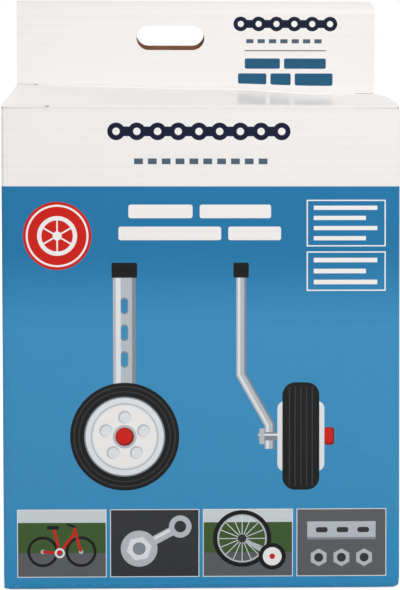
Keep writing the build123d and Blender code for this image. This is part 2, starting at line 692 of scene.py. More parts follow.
HEADER_BARS = {366.0: [(36.0, 62.0), (65.0, 96.0)], 355.0: [(31.0, 52.0), (55.0, 70.0), (73.0, 101.0)]}
HEADER_PRINT = Print(
    (
        (chain(links=5, pitch=13.2, radius=5.4), (33.0, 399.0)),
        (dashes(count=7, pitch=8.4, width=5.4, height=3.0), (37.0, 384.8)),
        ([Bar(Ink.SLATE, 36.0, 379.0, 96.0, 379.7)], ORIGIN),
        (bars(Ink.TEAL, HEADER_BARS, height=7.6, radius=1.2), ORIGIN),
    )
)


@dataclass(frozen=True)
class FieldTone:
    """How the blue field changes down the panels, by height in millimetres.

    Attributes:
        upper: heights between which it lightens behind the picture, going down.
        lower: heights between which it turns to its tone at the foot, going down.
    """

    upper: Point = (244.0, 186.0)
    lower: Point = (80.0, 10.0)

    def colour(self, ink: Ink, height: float) -> Colour:
        """Colour of an ink at a height.

        Args:
            ink: ink that is laid there.
            height: height above the floor.

        Returns:
            Linear RGBA.
        """
        if ink is not Ink.BLUE:
            return ink.linear()
        tone = Vector(Ink.BLUE.linear())
        for below, (start, end) in ((Ink.PALE_BLUE, self.upper), (Ink.LOW_BLUE, self.lower)):
            tone = tone.lerp(Vector(below.linear()), smooth((start - height) / (start - end)))
        return tuple(tone)


@dataclass(frozen=True)
class Leg:
    """A flat run or a crease of a fold path.

    Attributes:
        start: distance along the path at which it begins.
        length: its length.
        origin: where it begins.
        heading: direction at its beginning, as an angle.
        curve: its curvature, positive to the left, 0 on a flat run.
    """

    start: float
    length: float
    origin: Vector
    heading: float
    curve: float = 0.0

    @property
    def end(self) -> float:
        """Distance along the path at which it ends."""
        return self.start + self.length

    @property
    def middle(self) -> float:
        """Distance along the path of its middle."""
        return self.start + self.length / 2

    def at(self, distance: float) -> tuple[Vector, float]:
        """Follows the leg.

        Args:
            distance: distance along the whole path.

        Returns:
            The place there, and the heading.
        """
        run = distance - self.start
        if not self.curve:
            direction = Vector((math.cos(self.heading), math.sin(self.heading)))
            return self.origin + run * direction, self.heading
        heading = self.heading + run * self.curve
        shift = (math.sin(heading) - math.sin(self.heading), math.cos(self.heading) - math.cos(heading))
        return self.origin + Vector(shift) / self.curve, heading


class FoldPath:
    """Middle line of a folded sheet: flat runs joined by round creases.

    Attributes:
        CREASE_STEPS: steps round each crease.
        SCORE_STEPS: where a sheet is divided beside each end of a crease, in millimetres.
        SCORE_WIDTH: width of the score line there, in millimetres.
        legs: flat runs and creases, taken in turn.
        print_side: 1 if the printed side is left of travel, -1 if it is right.
    """

    CREASE_STEPS = 8
    SCORE_STEPS = (-9.0, -5.0, -1.6, -0.8, 0.8, 1.6, 5.0, 9.0)
    SCORE_WIDTH = 0.75

    def __init__(self, corners: Outline, radius: float, print_side: int) -> None:
        """Lays runs and creases end to end.

        Args:
            corners: ends and sharp corners of the path.
            radius: crease radius.
            print_side: 1 if the printed side is left of travel, -1 if it is right.
        """
        self.print_side = print_side
        self.legs: list[Leg] = []
        points = [Vector(corner) for corner in corners]
        headings = [math.atan2(*(b - a).yx) for a, b in zip(points, points[1:])]
        distance = 0.0
        trimmed = 0.0
        for index, heading in enumerate(headings):
            direction = Vector((math.cos(heading), math.sin(heading)))
            origin = points[index] + trimmed * direction
            length = (points[index + 1] - origin).length
            turn = 0.0
            if index + 1 < len(headings):
                turn = math.remainder(headings[index + 1] - heading, math.tau)
            trimmed = radius * math.tan(abs(turn) / 2)
            length = max(length - trimmed, 0.0)
            self.legs.append(Leg(distance, length, origin, heading))
            distance += length
            if turn:
                bend = origin + length * direction
                arc = radius * abs(turn)
                self.legs.append(Leg(distance, arc, bend, heading, math.copysign(1 / radius, turn)))
                distance += arc

    @property
    def runs(self) -> list[Leg]:
        """The flat runs."""
        return [leg for leg in self.legs if not leg.curve]

    @property
    def creases(self) -> list[Leg]:
        """The creases."""
        return [leg for leg in self.legs if leg.curve]

    @property
    def length(self) -> float:
        """Length of the whole path."""
        return self.legs[-1].end

    def at(self, distance: float) -> tuple[Vector, Vector, float]:
        """Follows the path.

        Args:
            distance: distance along the path.

        Returns:
            The place there, the direction towards the printed side, and how much of a crease it is.
        """
        leg = next((leg for leg in self.legs if distance <= leg.end), self.legs[-1])
        place, heading = leg.at(distance)
        normal = Vector((-math.sin(heading), math.cos(heading))) * self.print_side
        bend = math.sin(math.pi * (distance - leg.start) / leg.length) if leg.curve else 0.0
        return place, normal, bend

    def rows(self, start: float, end: float) -> list[float]:
        """Distances at which a sheet is divided so that it can fold and bow.

        Args:
            start: where the sheet begins.
            end: where it ends.

        Returns:
            Distances between start and end.
        """
        rows = []
        for leg in self.legs:
            steps = self.CREASE_STEPS if leg.curve else max(1, math.ceil(leg.length / GRID))
            rows += [leg.start + leg.length * step / steps for step in range(steps + 1)]
            if leg.curve:
                rows += [line + step for line in (leg.start, leg.end) for step in self.SCORE_STEPS]
        return [row for row in rows if start < row < end]

    def score(self, distance: float) -> float:
        """How much of a score line a place beside the creases is on.

        Args:
            distance: distance along the path.

        Returns:
            1 on the line, falling to 0 beside it.
        """
        gaps = [distance - line for crease in self.creases for line in (crease.start, crease.end)]
        return max((math.exp(-((gap / self.SCORE_WIDTH) ** 2)) for gap in gaps), default=0.0)


@dataclass(frozen=True)
class Handling:
    """How a packed and handled carton departs from its drawing, in millimetres.

    Attributes:
        front_bow: how far front and back panels stand out in the middle.
        side_bow: how far side panels stand out in the middle.
        lean: how far the right side panel stands out at its foot.
        rack: how far the whole carton leans to the left, per millimetre of height.
        lid_bow: how far the top panel sags in the middle.
        lid_curl: how far the top panel's right end curls up.
        curl_start: where the curl begins, as a share of the half width.
        crease_tilt: how far the header crease is up at its left end and down at its right end.
        crease_wave: how far it waves up and down right of the middle.
        wave_turn: turn of that wave over the half width, in radians.
        crease_reach: height above the header crease in which the tilt dies out.
        score_depth: depth of the score lines beside each crease.
        crush: how far the lower right corner at the front is pushed in.
        crush_way: way in which it is pushed.
        crush_reach: how far from that corner the board is crushed.
    """

    front_bow: float = 0.8
    side_bow: float = 0.6
    lean: float = 1.9
    rack: float = 0.0033
    lid_bow: float = 0.5
    lid_curl: float = 2.2
    curl_start: float = 0.72
    crease_tilt: float = 3.9
    crease_wave: float = 0.9
    wave_turn: float = 2.5 * math.pi
    crease_reach: float = 8.0
    score_depth: float = 0.3
    crush: float = 0.45
    crush_way: Place = (-1.0, 0.6, 0.8)
    crush_reach: float = 11.0

    def settle(self, point: Vector, sizes: CartonSizes) -> Vector:
        """Moves a point of the drawn carton to where it is on the real one.

        Args:
            point: place on the drawn carton.
            sizes: sizes of the carton.

        Returns:
            The moved place.
        """
        half_height = sizes.front_height / 2
        x, y, z = point.x / sizes.half_width, point.y / sizes.half_depth, point.z / half_height - 1.0
        moved = point.copy()
        moved.y += self.front_bow * y * crown(x) * crown(z)
        moved.x += self.side_bow * x * crown(y) * crown(z)
        moved.x += self.lean * max(0.0, x) * (1.0 - z) / 2
        moved.x -= self.rack * z * half_height
        corner = Vector((sizes.half_width, -sizes.half_depth, 0.0))
        pushed = smooth(1.0 - (point - corner).length / self.crush_reach)
        return moved + Vector(self.crush_way) * self.crush * pushed

    def skew(self, point: Vector, sizes: CartonSizes) -> Vector:
        """Moves a point of the drawn closing strip, whose top panel lies a little askew.

        Args:
            point: place on the drawn strip.
            sizes: sizes of the carton.

        Returns:
            The moved place.
        """
        moved = point.copy()
        moved.x -= self.rack * (point.z - sizes.front_height / 2)
        if point.y > sizes.header_face_y + sizes.board + sizes.header_gap / 2:
            return moved
        x = point.x / sizes.half_width
        lid = clamp((point.y - sizes.tuck_y) / (sizes.header_face_y - sizes.tuck_y))
        fade = 1.0 - clamp((point.z - sizes.crease_z) / self.crease_reach)
        arch = math.sin(math.pi * lid) * fade
        moved.z -= self.crease_tilt * x * lid * fade
        moved.z += self.crease_wave * math.sin(self.wave_turn * max(x, 0.0)) * lid * fade
        moved.z -= self.lid_bow * crown(x) * arch
        moved.z += self.lid_curl * smooth((x - self.curl_start) / (1.0 - self.curl_start)) * arch
        return moved


Division = tuple[Outline, list[tuple[list[int], Ink]], set[int]]


@dataclass
class Sheet:
    """One cut sheet of board, laid flat, and the path that it folds along.

    Attributes:
        path: fold path of its middle line.
        lie: plane of the path.
        outline: cut outline, counter-clockwise, as distance along the path and place across it.
        artwork: print on the outer liner, over a white ground.
        inner: cut outline of the inner liner, where that differs.
        slots: holes through all layers.
        slits: cuts through the outer liner and the core.
        skewed: whether it lies askew as the closing strip does.
    """

    path: FoldPath
    lie: Lie
    outline: Outline
    artwork: Areas = field(default_factory=list)
    inner: Outline | None = None
    slots: list[Outline] = field(default_factory=list)
    slits: list[Outline] = field(default_factory=list)
    skewed: bool = False

    def cut(self, layer: Layer, sizes: CartonSizes) -> tuple[Outline, list[Outline]]:
        """Cuts one layer.

        Args:
            layer: layer of the board.
            sizes: sizes of the carton.

        Returns:
            The layer's outline, and the holes in it.
        """
        if layer is Layer.INNER:
            return self.inner or self.outline, self.slots
        if layer is Layer.OUTER:
            return self.outline, self.slots + self.slits
        widened = [inset(slot, -sizes.core_setback) for slot in self.slots]
        return inset(self.outline, sizes.core_setback), widened + self.slits

    def divide(self, layer: Layer, sizes: CartonSizes) -> Division:
        """Divides the flat sheet into triangles along print, cuts and fold rows.

        Args:
            layer: layer of the board.
            sizes: sizes of the carton.

        Returns:
            Flat points, triangles with their ink, and the points on the cut outline.
        """
        outline, holes = self.cut(layer, sizes)
        areas = self.artwork if layer is Layer.OUTER else []
        points: list[Vector] = []

        def add(corners: Outline) -> list[int]:
            """Adds flat points and returns their numbers."""
            points.extend(Vector((round(x, PLACES), round(y, PLACES))) for x, y in corners)
            return list(range(len(points) - len(corners), len(points)))

        faces = [add(corners) for corners in (outline, *holes, *(area for _, area in areas))]
        edges: list[list[int] | tuple[int, int]] = []
        if layer is Layer.OUTER:
            worn = add(inset(outline, WEAR))
            edges += zip(worn, worn[1:] + worn[:1])
        (start, end), (low, high) = ((min(values), max(values)) for values in zip(*outline))
        edges += [add([(row, low), (row, high)]) for row in self.path.rows(start, end)]
        steps = max(1, round((high - low) / GRID))
        places = [low + (high - low) * step / steps for step in range(1, steps)]
        edges += [add([(start, place), (end, place)]) for place in places]
        flat, _, cells, _, _, origins = delaunay_2d_cdt(
            points, edges, faces, INSIDE_TRIANGLES, CLOSENESS, True
        )

        first_area = 1 + len(holes)
        hole_faces = set(range(1, first_area))
        triangles = []
        for cell, origin in zip(cells, origins):
            if 0 not in origin or hole_faces.intersection(origin):
                continue
            top = max(origin)
            ink = areas[top - first_area][0] if top >= first_area else Ink.WHITE
            triangles.append((list(cell), ink))
        kept = sorted({index for cell, _ in triangles for index in cell})
        number = {old: new for new, old in enumerate(kept)}
        triangles = [([number[index] for index in cell], ink) for cell, ink in triangles]
        sides = {side for cell, _ in triangles for side in zip(cell, cell[1:] + cell[:1])}
        rim = {index for side in sides if side[::-1] not in sides for index in side}
        return [tuple(flat[index]) for index in kept], triangles, rim


class BoardMesh:
    """Gathers folded layers of board into one mesh.

    Attributes:
        sizes: sizes of the carton.
        handling: how the real carton departs from its drawing.
        tone: how the blue field changes down the panels.
        points: places in metres.
        faces: numbers of each face's points.
        colours: linear RGBA of each corner of each face.
        runs: place of each point across the flutes, in metres.
        wear: how rubbed the board is at each point.
    """

    def __init__(self, sizes: CartonSizes, handling: Handling) -> None:
        """Starts an empty mesh.

        Args:
            sizes: sizes of the carton.
            handling: how the real carton departs from its drawing.
        """
        self.sizes = sizes
        self.handling = handling
        self.tone = FieldTone()
        self.points: list[Vector] = []
        self.faces: list[list[int]] = []
        self.colours: list[float] = []
        self.runs: list[float] = []
        self.wear: list[float] = []

    def fold(self, sheet: Sheet, flat: Point, height: float) -> tuple[Vector, float]:
        """Folds one flat point into space.

        Args:
            sheet: sheet that it is on.
            flat: distance along the path and place across it.
            height: height above the middle of the board.

        Returns:
            The place in metres, and how much of a crease it is on.
        """
        place, normal, bend = sheet.path.at(flat[0])
        height -= self.handling.score_depth * sheet.path.score(flat[0])
        drawn = sheet.lie.place(place + normal * height, flat[1])
        move = self.handling.skew if sheet.skewed else self.handling.settle
        return move(drawn, self.sizes) * MM, bend

    def put(self, face: list[int], colours: list[Colour]) -> None:
        """Adds one face with the colours of its corners."""
        self.faces.append(face)
        self.colours += [value for colour in colours for value in colour]

    def add(self, sheet: Sheet, layer: Layer) -> None:
        """Folds one layer of a sheet and adds it.

        Args:
            sheet: sheet to fold.
            layer: layer of it to add.
        """
        flat, triangles, rim = sheet.divide(layer, self.sizes)
        across_flutes = 1 if sheet.lie is Lie.PLAN else 0
        high = len(self.points)
        low = high + len(flat)
        for height in layer.reach(self.sizes):
            for index, point in enumerate(flat):
                place, bend = self.fold(sheet, point, height)
                self.points.append(place)
                self.runs.append(point[across_flutes] * MM)
                self.wear.append(max(bend, float(index in rim)))
        first = triangles[0][0]
        a, b, c = (self.points[high + index] for index in first)
        facing = (b - a).cross(c - a).dot(a - self.points[low + first[0]])
        bare = Ink.LINER_EDGE.linear()
        edges: list[tuple[int, int]] = []
        for cell, ink in triangles:
            cell = cell if facing > 0 else cell[::-1]
            upper = [high + index for index in cell]
            self.put(upper, [self.tone.colour(ink, self.points[index].z / MM) for index in upper])
            self.put([low + index for index in cell[::-1]], [bare] * len(cell))
            edges += zip(cell, cell[1:] + cell[:1])
        sides = set(edges)
        for start, end in edges:
            if (end, start) not in sides:
                side = [high + end, high + start, low + start, low + end]
                self.put(side, [bare] * len(side))

    def finish(self, name: str, material: bpy.types.Material) -> bpy.types.Object:
        """Makes the piece.

        Args:
            name: name of the piece.
            material: its finish.

        Returns:
            The object, riding on the carton's body.
        """
        mesh = bpy.data.meshes.new(name)
        mesh.from_pydata(self.points, [], self.faces)
        colours = mesh.color_attributes.new("ink", "FLOAT_COLOR", "CORNER")
        colours.data.foreach_set("color", self.colours)
        for label, numbers in (("run", self.runs), ("wear", self.wear)):
            mesh.attributes.new(label, "FLOAT", "POINT").data.foreach_set("value", numbers)
        mesh.materials.append(material)
        mesh.shade_smooth()
        mesh.set_sharp_from_angle(angle=math.radians(SHARP_ANGLE))
        mesh.validate()
        return settle_piece(bpy.data.objects.new(name, mesh))


def settle_piece(piece: bpy.types.Object) -> bpy.types.Object:
    """Puts a finished piece into the scene and onto the carton's body.

    Args:
        piece: object with its place in its mesh.

    Returns:
        The same object.
    """
    bpy.context.scene.collection.objects.link(piece)
    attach(piece, BODY)
    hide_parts(NODE)
    LOG.info("%s: %d faces", piece.name, len(piece.data.polygons))
    return piece


class NodeBench:
    """Adds and joins the nodes of one node tree.

    Attributes:
        tree: the node tree.
    """

    def __init__(self, tree: bpy.types.NodeTree) -> None:
        """Empties a tree and starts on it."""
        self.tree = tree
        self.tree.nodes.clear()

    def add(self, kind: str, settings: dict | None = None, **inputs: object) -> bpy.types.Node:
        """Adds a node.

        Args:
            kind: the node's type.
            settings: properties of the node.
            inputs: values or sockets for its inputs, by name with _ for a space, or by number as i0.

        Returns:
            The node.
        """
        node = self.tree.nodes.new(kind)
        for name, value in (settings or {}).items():
            setattr(node, name, value)
        for name, value in inputs.items():
            by_number = name[0] == "i" and name[1:].isdigit()
            socket = node.inputs[int(name[1:]) if by_number else name.replace("_", " ")]
            if isinstance(value, Socket):
                self.tree.links.new(value, socket)
            else:
                socket.default_value = value
        return node

    def out(self, kind: str, settings: dict | None = None, **inputs: object) -> Socket:
        """Adds a node, and returns its first output."""
        return self.add(kind, settings, **inputs).outputs[0]

    def math(self, operation: str, *values: object) -> Socket:
        """Adds a Math node with its inputs in order, and returns its output."""
        inputs = {f"i{index}": value for index, value in enumerate(values)}
        return self.out("ShaderNodeMath", {"operation": operation}, **inputs)

    def spread(self, value: Socket, low: float, high: float) -> Socket:
        """Spreads a 0 to 1 value between two values, and returns the output."""
        return self.out("ShaderNodeMapRange", Value=value, To_Min=low, To_Max=high)

    def blend(self, share: object, low: object, high: object, way: str = "MIX") -> Socket:
        """Mixes two colours.

        Args:
            share: how much of the second colour comes in.
            low: first colour.
            high: second colour.
            way: how the second colour is laid on the first.

        Returns:
            The mixed colour.
        """
        # A Mix node's colours go in at its sockets 6 and 7, and come out at its third output
        settings = {"data_type": "RGBA", "blend_type": way}
        return self.add("ShaderNodeMix", settings, i0=share, i6=low, i7=high).outputs[2]

    def tint(self, colour: Socket, value: Socket) -> Socket:
        """Multiplies a colour by a value, and returns the output."""
        return self.blend(1.0, colour, value, "MULTIPLY")

    def noise(self, place: Socket, scale: float, detail: float) -> Socket:
        """Adds a Noise Texture and returns its value."""
        return self.out("ShaderNodeTexNoise", Vector=place, Scale=scale, Detail=detail)

    def attribute(self, name: str, output: str = "Fac") -> Socket:
        """Reads one of the piece's own attributes."""
        return self.add("ShaderNodeAttribute", {"attribute_name": name}).outputs[output]

    def seen(self) -> Socket:
        """Tells rays that show a surface as background from rays that light the carton.

        Returns:
            1 for camera, glossy and transmission rays, 0 for the others.
        """
        path = self.add("ShaderNodeLightPath").outputs
        direct = self.math("MAXIMUM", path["Is Camera Ray"], path["Is Glossy Ray"])
        return self.math("MAXIMUM", direct, path["Is Transmission Ray"])


def new_material(name: str) -> tuple[bpy.types.Material, NodeBench, Socket]:
    """Starts a material.

    Args:
        name: name of the finish.

    Returns:
        The material, a bench for its nodes, and its Object coordinates.
    """
    material = bpy.data.materials.new(name)
    material.use_nodes = True
    bench = NodeBench(material.node_tree)
    return material, bench, bench.add("ShaderNodeTexCoord").outputs["Object"]


@dataclass(frozen=True)
class PrintedBoard:
    """White liner, printed and varnished, with the flutes showing through faintly as bumps and painted
    shade.

    Attributes:
        flute_pitch: distance from flute to flute, in metres.
        flute_relief: height of the flutes' rise on the face, in metres.
        flute_shade: painted shade between the flutes, as how much darker the colour is there.
        mottle: how much the ink varies from place to place.
        mottle_noise: scale and detail of that variation.
        tooth: height of the paper's tooth, in metres.
        tooth_noise: scale and detail of the tooth.
        rub: least and greatest share of bare paper on rubbed creases and edges, below 0 for none.
        rub_noise: scale and detail of the rubbing.
        gloss: least and greatest roughness.
        specular: specular level of the varnish.
        paper: bare paper, as linear RGBA.
    """

    flute_pitch: float = 0.00645
    flute_relief: float = 0.00002
    flute_shade: float = 0.008
    mottle: float = 0.012
    mottle_noise: Point = (45.0, 6.0)
    tooth: float = 4e-6
    tooth_noise: Point = (1800.0, 3.0)
    rub: Point = (-0.5, 0.3)
    rub_noise: Point = (260.0, 4.0)
    gloss: Point = (0.17, 0.21)
    specular: float = 0.16
    paper: Colour = (0.90, 0.885, 0.865, 1.0)

    def make(self) -> bpy.types.Material:
        """Builds the finish.

        Returns:
            The material, which reads the attributes ink, run and wear.
        """
        material, bench, place = new_material("printed_board")
        turns = bench.math("MULTIPLY", bench.attribute("run"), math.tau / self.flute_pitch)
        flutes = bench.math("SINE", turns)
        cloud = bench.noise(place, *self.mottle_noise)
        mottled = bench.spread(cloud, 1.0 - self.mottle, 1.0 + self.mottle)
        colour = bench.tint(bench.attribute("ink", "Color"), mottled)
        # Painted shade: the colour is darker in the valleys between the flutes, in step with their bumps
        colour = bench.tint(colour, bench.math("MULTIPLY_ADD", flutes, self.flute_shade, 1.0))
        patches = bench.spread(bench.noise(place, *self.rub_noise), *self.rub)
        scuff = bench.math("MULTIPLY", bench.attribute("wear"), patches)
        scuff = bench.out("ShaderNodeClamp", Value=scuff)
        ribs = bench.out("ShaderNodeBump", Height=flutes, Distance=self.flute_relief)
        grain = bench.noise(place, *self.tooth_noise)
        tooth = bench.out("ShaderNodeBump", Height=grain, Distance=self.tooth, Normal=ribs)
        shader = bench.out(
            "ShaderNodeBsdfPrincipled",
            Base_Color=bench.blend(scuff, colour, self.paper),
            Roughness=bench.spread(cloud, *self.gloss),
            Specular_IOR_Level=self.specular,
            Normal=tooth,
        )
        bench.add("ShaderNodeOutputMaterial", Surface=shader)
        return material


@dataclass(frozen=True)
class Kraft:
    """Plain brown paper with short fibres.

    Attributes:
        name: name of the finish.
        dark: colour of the dark fibres.
        light: colour of the light fibres.
        roughness: roughness of the paper.
        fibre: height of the fibres, in metres.
        stretch: scale of the fibres' pattern along X, Y and Z.
        fibre_noise: scale and detail of the fibres.
        cloud_noise: scale and detail of the paper's clouds.
    """

    name: str
    dark: Colour
    light: Colour
    roughness: float = 0.85
    fibre: float = 2.0e-5
    stretch: Place = (0.25, 1.0, 1.0)
    fibre_noise: Point = (900.0, 5.0)
    cloud_noise: Point = (60.0, 3.0)

    def make(self) -> bpy.types.Material:
        """Builds the finish.

        Returns:
            The material.
        """
        material, bench, place = new_material(self.name)
        lengthwise = bench.out("ShaderNodeMapping", Vector=place, Scale=self.stretch)
        fibres = bench.noise(lengthwise, *self.fibre_noise)
        share = bench.math("MULTIPLY", fibres, bench.noise(place, *self.cloud_noise))
        shader = bench.out(
            "ShaderNodeBsdfPrincipled",
            Base_Color=bench.blend(share, self.dark, self.light),
            Roughness=self.roughness,
            Normal=bench.out("ShaderNodeBump", Height=fibres, Distance=self.fibre),
        )
        bench.add("ShaderNodeOutputMaterial", Surface=shader)
        return material


@dataclass(frozen=True)
class Finishes:
    """The carton's finishes, made once.

    Attributes:
        board: printed face of the board.
        liner: inner liner.
        flute: paper of the fluted core.
    """

    board: bpy.types.Material
    liner: bpy.types.Material
    flute: bpy.types.Material

    @classmethod
    def make(cls) -> "Finishes":
        """Builds each finish.

        Returns:
            The finishes.
        """
        liner = Kraft("kraft_liner", dark=(0.16, 0.062, 0.021, 1.0), light=(0.51, 0.24, 0.10, 1.0))
        flute = Kraft("fluting_paper", dark=(0.12, 0.05, 0.019, 1.0), light=(0.42, 0.21, 0.09, 1.0))
        return cls(PrintedBoard().make(), liner.make(), flute.make())


@dataclass
class CartonBody:
    """Panels that wrap round, with the flaps that fold in above and below, in millimetres.

    Attributes:
        sizes: sizes of the carton.
        flap_reach: length of the dust flaps.
        inner_reach: length of the inner flaps below.
        glue_reach: length of the glue flap.
        corner_steps: steps round the cut end of an upright crease.
        corner_clearance: floor to the cut lower corners.
        corner_round: rounding of those corners.
        rubbed_round: rounding of the rubbed one, at the right of the front.
        press: how far the front panel's inner liner is pressed down along its cut edge.
        press_reach: length in which that dies out at each end.
    """

    sizes: CartonSizes
    flap_reach: float = 92.0
    inner_reach: float = 60.0
    glue_reach: float = 25.0
    corner_steps: int = 8
    corner_clearance: float = 1.2
    corner_round: float = 0.8
    rubbed_round: float = 3.4
    press: float = 0.4
    press_reach: float = 60.0

    def __post_init__(self) -> None:
        """Lays out the fold path round the body, and the blue field all round it."""
        side, face = self.sizes.side, self.sizes.face
        joint = self.sizes.half_depth - self.sizes.fold_radius
        front = [(-side, joint - self.sizes.seam), (-side, -face), (side, -face)]
        back = [(side, face), (-side, face), (-side, joint)]
        self.wrap = FoldPath(front + back, self.sizes.crease_middle, -1)
        past = self.wrap.length + OVERPRINT
        self.blue_field: Areas = [(Ink.BLUE, rectangle(-OVERPRINT, -OVERPRINT, past, FIELD_TOP))]

    def corner(self, crease: Leg, towards_front: bool, upper: bool) -> Outline:
        """Cut end of an upright crease, from its front or back panel to its side panel.

        Args:
            crease: the upright crease.
            towards_front: whether it is at the front panel.
            upper: its upper end, or its lower one.

        Returns:
            Points in order of distance along the path.
        """
        sizes = self.sizes
        radius = sizes.fold_radius
        creases = self.wrap.creases
        first_is_side = crease in (creases[0], creases[2])
        rounding = self.rubbed_round if crease is creases[1] else self.corner_round
        points = []
        for step in range(self.corner_steps + 1):
            share = step / self.corner_steps
            angle = math.pi / 2 * ((1.0 - share) if first_is_side else share)
            drop = radius * (1.0 - math.cos(angle))
            inside_board = drop < sizes.board
            level = sizes.flap_level - drop if upper else sizes.board + drop
            if inside_board and upper and towards_front:
                level = sizes.front_height
            if inside_board and not upper:
                out = max(0.0, radius * math.sin(angle) - radius + rounding)
                level = self.corner_clearance + rounding - math.sqrt(max(0.0, rounding**2 - out**2))
            points.append((crease.start + crease.length * share, level))
        return points

    def panel(self, first: Leg, last: Leg, towards_front: bool, press: float = 0.0) -> Outline:
        """Outline of the front or back panel with the creases beside it.

        Args:
            first: crease at its beginning.
            last: crease at its end.
            towards_front: whether it is the front panel.
            press: how far the upper edge is pressed down along its middle.

        Returns:
            The outline, counter-clockwise.
        """
        sizes = self.sizes
        foot = [(first.end, sizes.fold_radius), (last.start, sizes.fold_radius)]
        lower = self.corner(first, towards_front, False) + foot + self.corner(last, towards_front, False)
        edge = []
        if press:
            level = sizes.front_height - press
            edge = [(first.end + self.press_reach, level), (last.start - self.press_reach, level)]
        upper = self.corner(first, towards_front, True) + edge + self.corner(last, towards_front, True)
        return lower + upper[::-1]

    def upright_sheets(self) -> dict[str, list[Sheet]]:
        """Lays out the front panel, and the panels beside and behind it.

        Returns:
            Sheets of each piece, by its name.
        """
        sizes = self.sizes
        creases = self.wrap.creases
        front = Sheet(
            self.wrap,
            Lie.PLAN,
            self.panel(creases[0], creases[1], True),
            self.blue_field + FRONT_PRINT.areas(self.wrap.runs[1].middle),
            inner=self.panel(creases[0], creases[1], True, self.press),
        )
        low = sizes.board + sizes.fold_radius
        high = sizes.flap_level - sizes.fold_radius
        outlines = (
            rectangle(0.0, low, creases[0].start, high),
            rectangle(creases[1].end, low, creases[2].start, high),
            self.panel(creases[2], creases[3], False),
        )
        left, right, back = (Sheet(self.wrap, Lie.PLAN, outline, self.blue_field) for outline in outlines)
        return {"front_panel": [front], "side_panels": [left, right], "back_panel": [back]}

    def flap(self, lie: Lie, corners: Outline, print_side: int, widths: Point, blue: bool) -> Sheet:
        """Lays out a flap, full width along its crease and narrower beyond it.

        Args:
            lie: plane of its fold path.
            corners: ends and sharp corner of its fold path.
            print_side: side of the path that is printed.
            widths: half its width along the crease and beyond it.
            blue: whether it is blue all over, or white.

        Returns:
            The sheet.
        """
        path = FoldPath(corners, self.sizes.crease_middle, print_side)
        hinge, tip = path.creases[0].end, path.length
        half_hinge, half_tip = widths
        upper = [(0.0, half_hinge), (hinge, half_hinge), (hinge, half_tip), (tip, half_tip)]
        lower = [(along, -across) for along, across in upper]
        across = half_hinge + OVERPRINT
        field_of_blue = [(Ink.BLUE, rectangle(-OVERPRINT, -across, tip + OVERPRINT, across))]
        return Sheet(path, lie, lower + upper[::-1], field_of_blue if blue else [])

    def flap_sheets(self) -> dict[str, list[Sheet]]:
        """Lays out the dust flaps above, and the inner and outer flaps below.

        Returns:
            Sheets of each piece, by its name.
        """
        sizes = self.sizes
        radius, half = sizes.fold_radius, sizes.half_board
        half_panel = sizes.half_depth - radius
        half_foot = sizes.half_width - radius
        panel_widths = (half_panel, half_panel - sizes.board)
        foot_widths = (half_foot, half_foot - sizes.seam)
        dust: list[Sheet] = []
        bottom: list[Sheet] = []
        for end in (-1, 1):
            side, face = end * sizes.side, end * sizes.face
            level = sizes.flap_level - half
            tip = (side - end * self.flap_reach, level)
            corners = [(side, sizes.flap_level - radius), (side, level), tip]
            dust.append(self.flap(Lie.FRONT, corners, -end, panel_widths, blue=False))
            level = sizes.board + half
            tip = (side - end * self.inner_reach, level)
            corners = [(side, sizes.board + radius), (side, level), tip]
            bottom.append(self.flap(Lie.FRONT, corners, end, panel_widths, blue=True))
            corners = [(face, radius), (face, half), (end * sizes.seam / 2, half)]
            bottom.append(self.flap(Lie.SIDE, corners, end, foot_widths, blue=True))
        return {"dust_flaps": dust, "bottom_flaps": bottom}

    def glue_flap(self) -> Sheet:
        """Lays out the flap behind the glued joint, inside the left side panel.

        Returns:
            The sheet.
        """
        sizes = self.sizes
        inside = sizes.board - sizes.side
        start = sizes.half_depth - sizes.fold_radius
        path = FoldPath([(inside, start), (inside, start - self.glue_reach)], sizes.crease_middle, -1)
        low = 2 * sizes.board + sizes.fold_radius
        high = sizes.flap_level - sizes.fold_radius
        return Sheet(path, Lie.PLAN, rectangle(0.0, low, self.glue_reach, high))


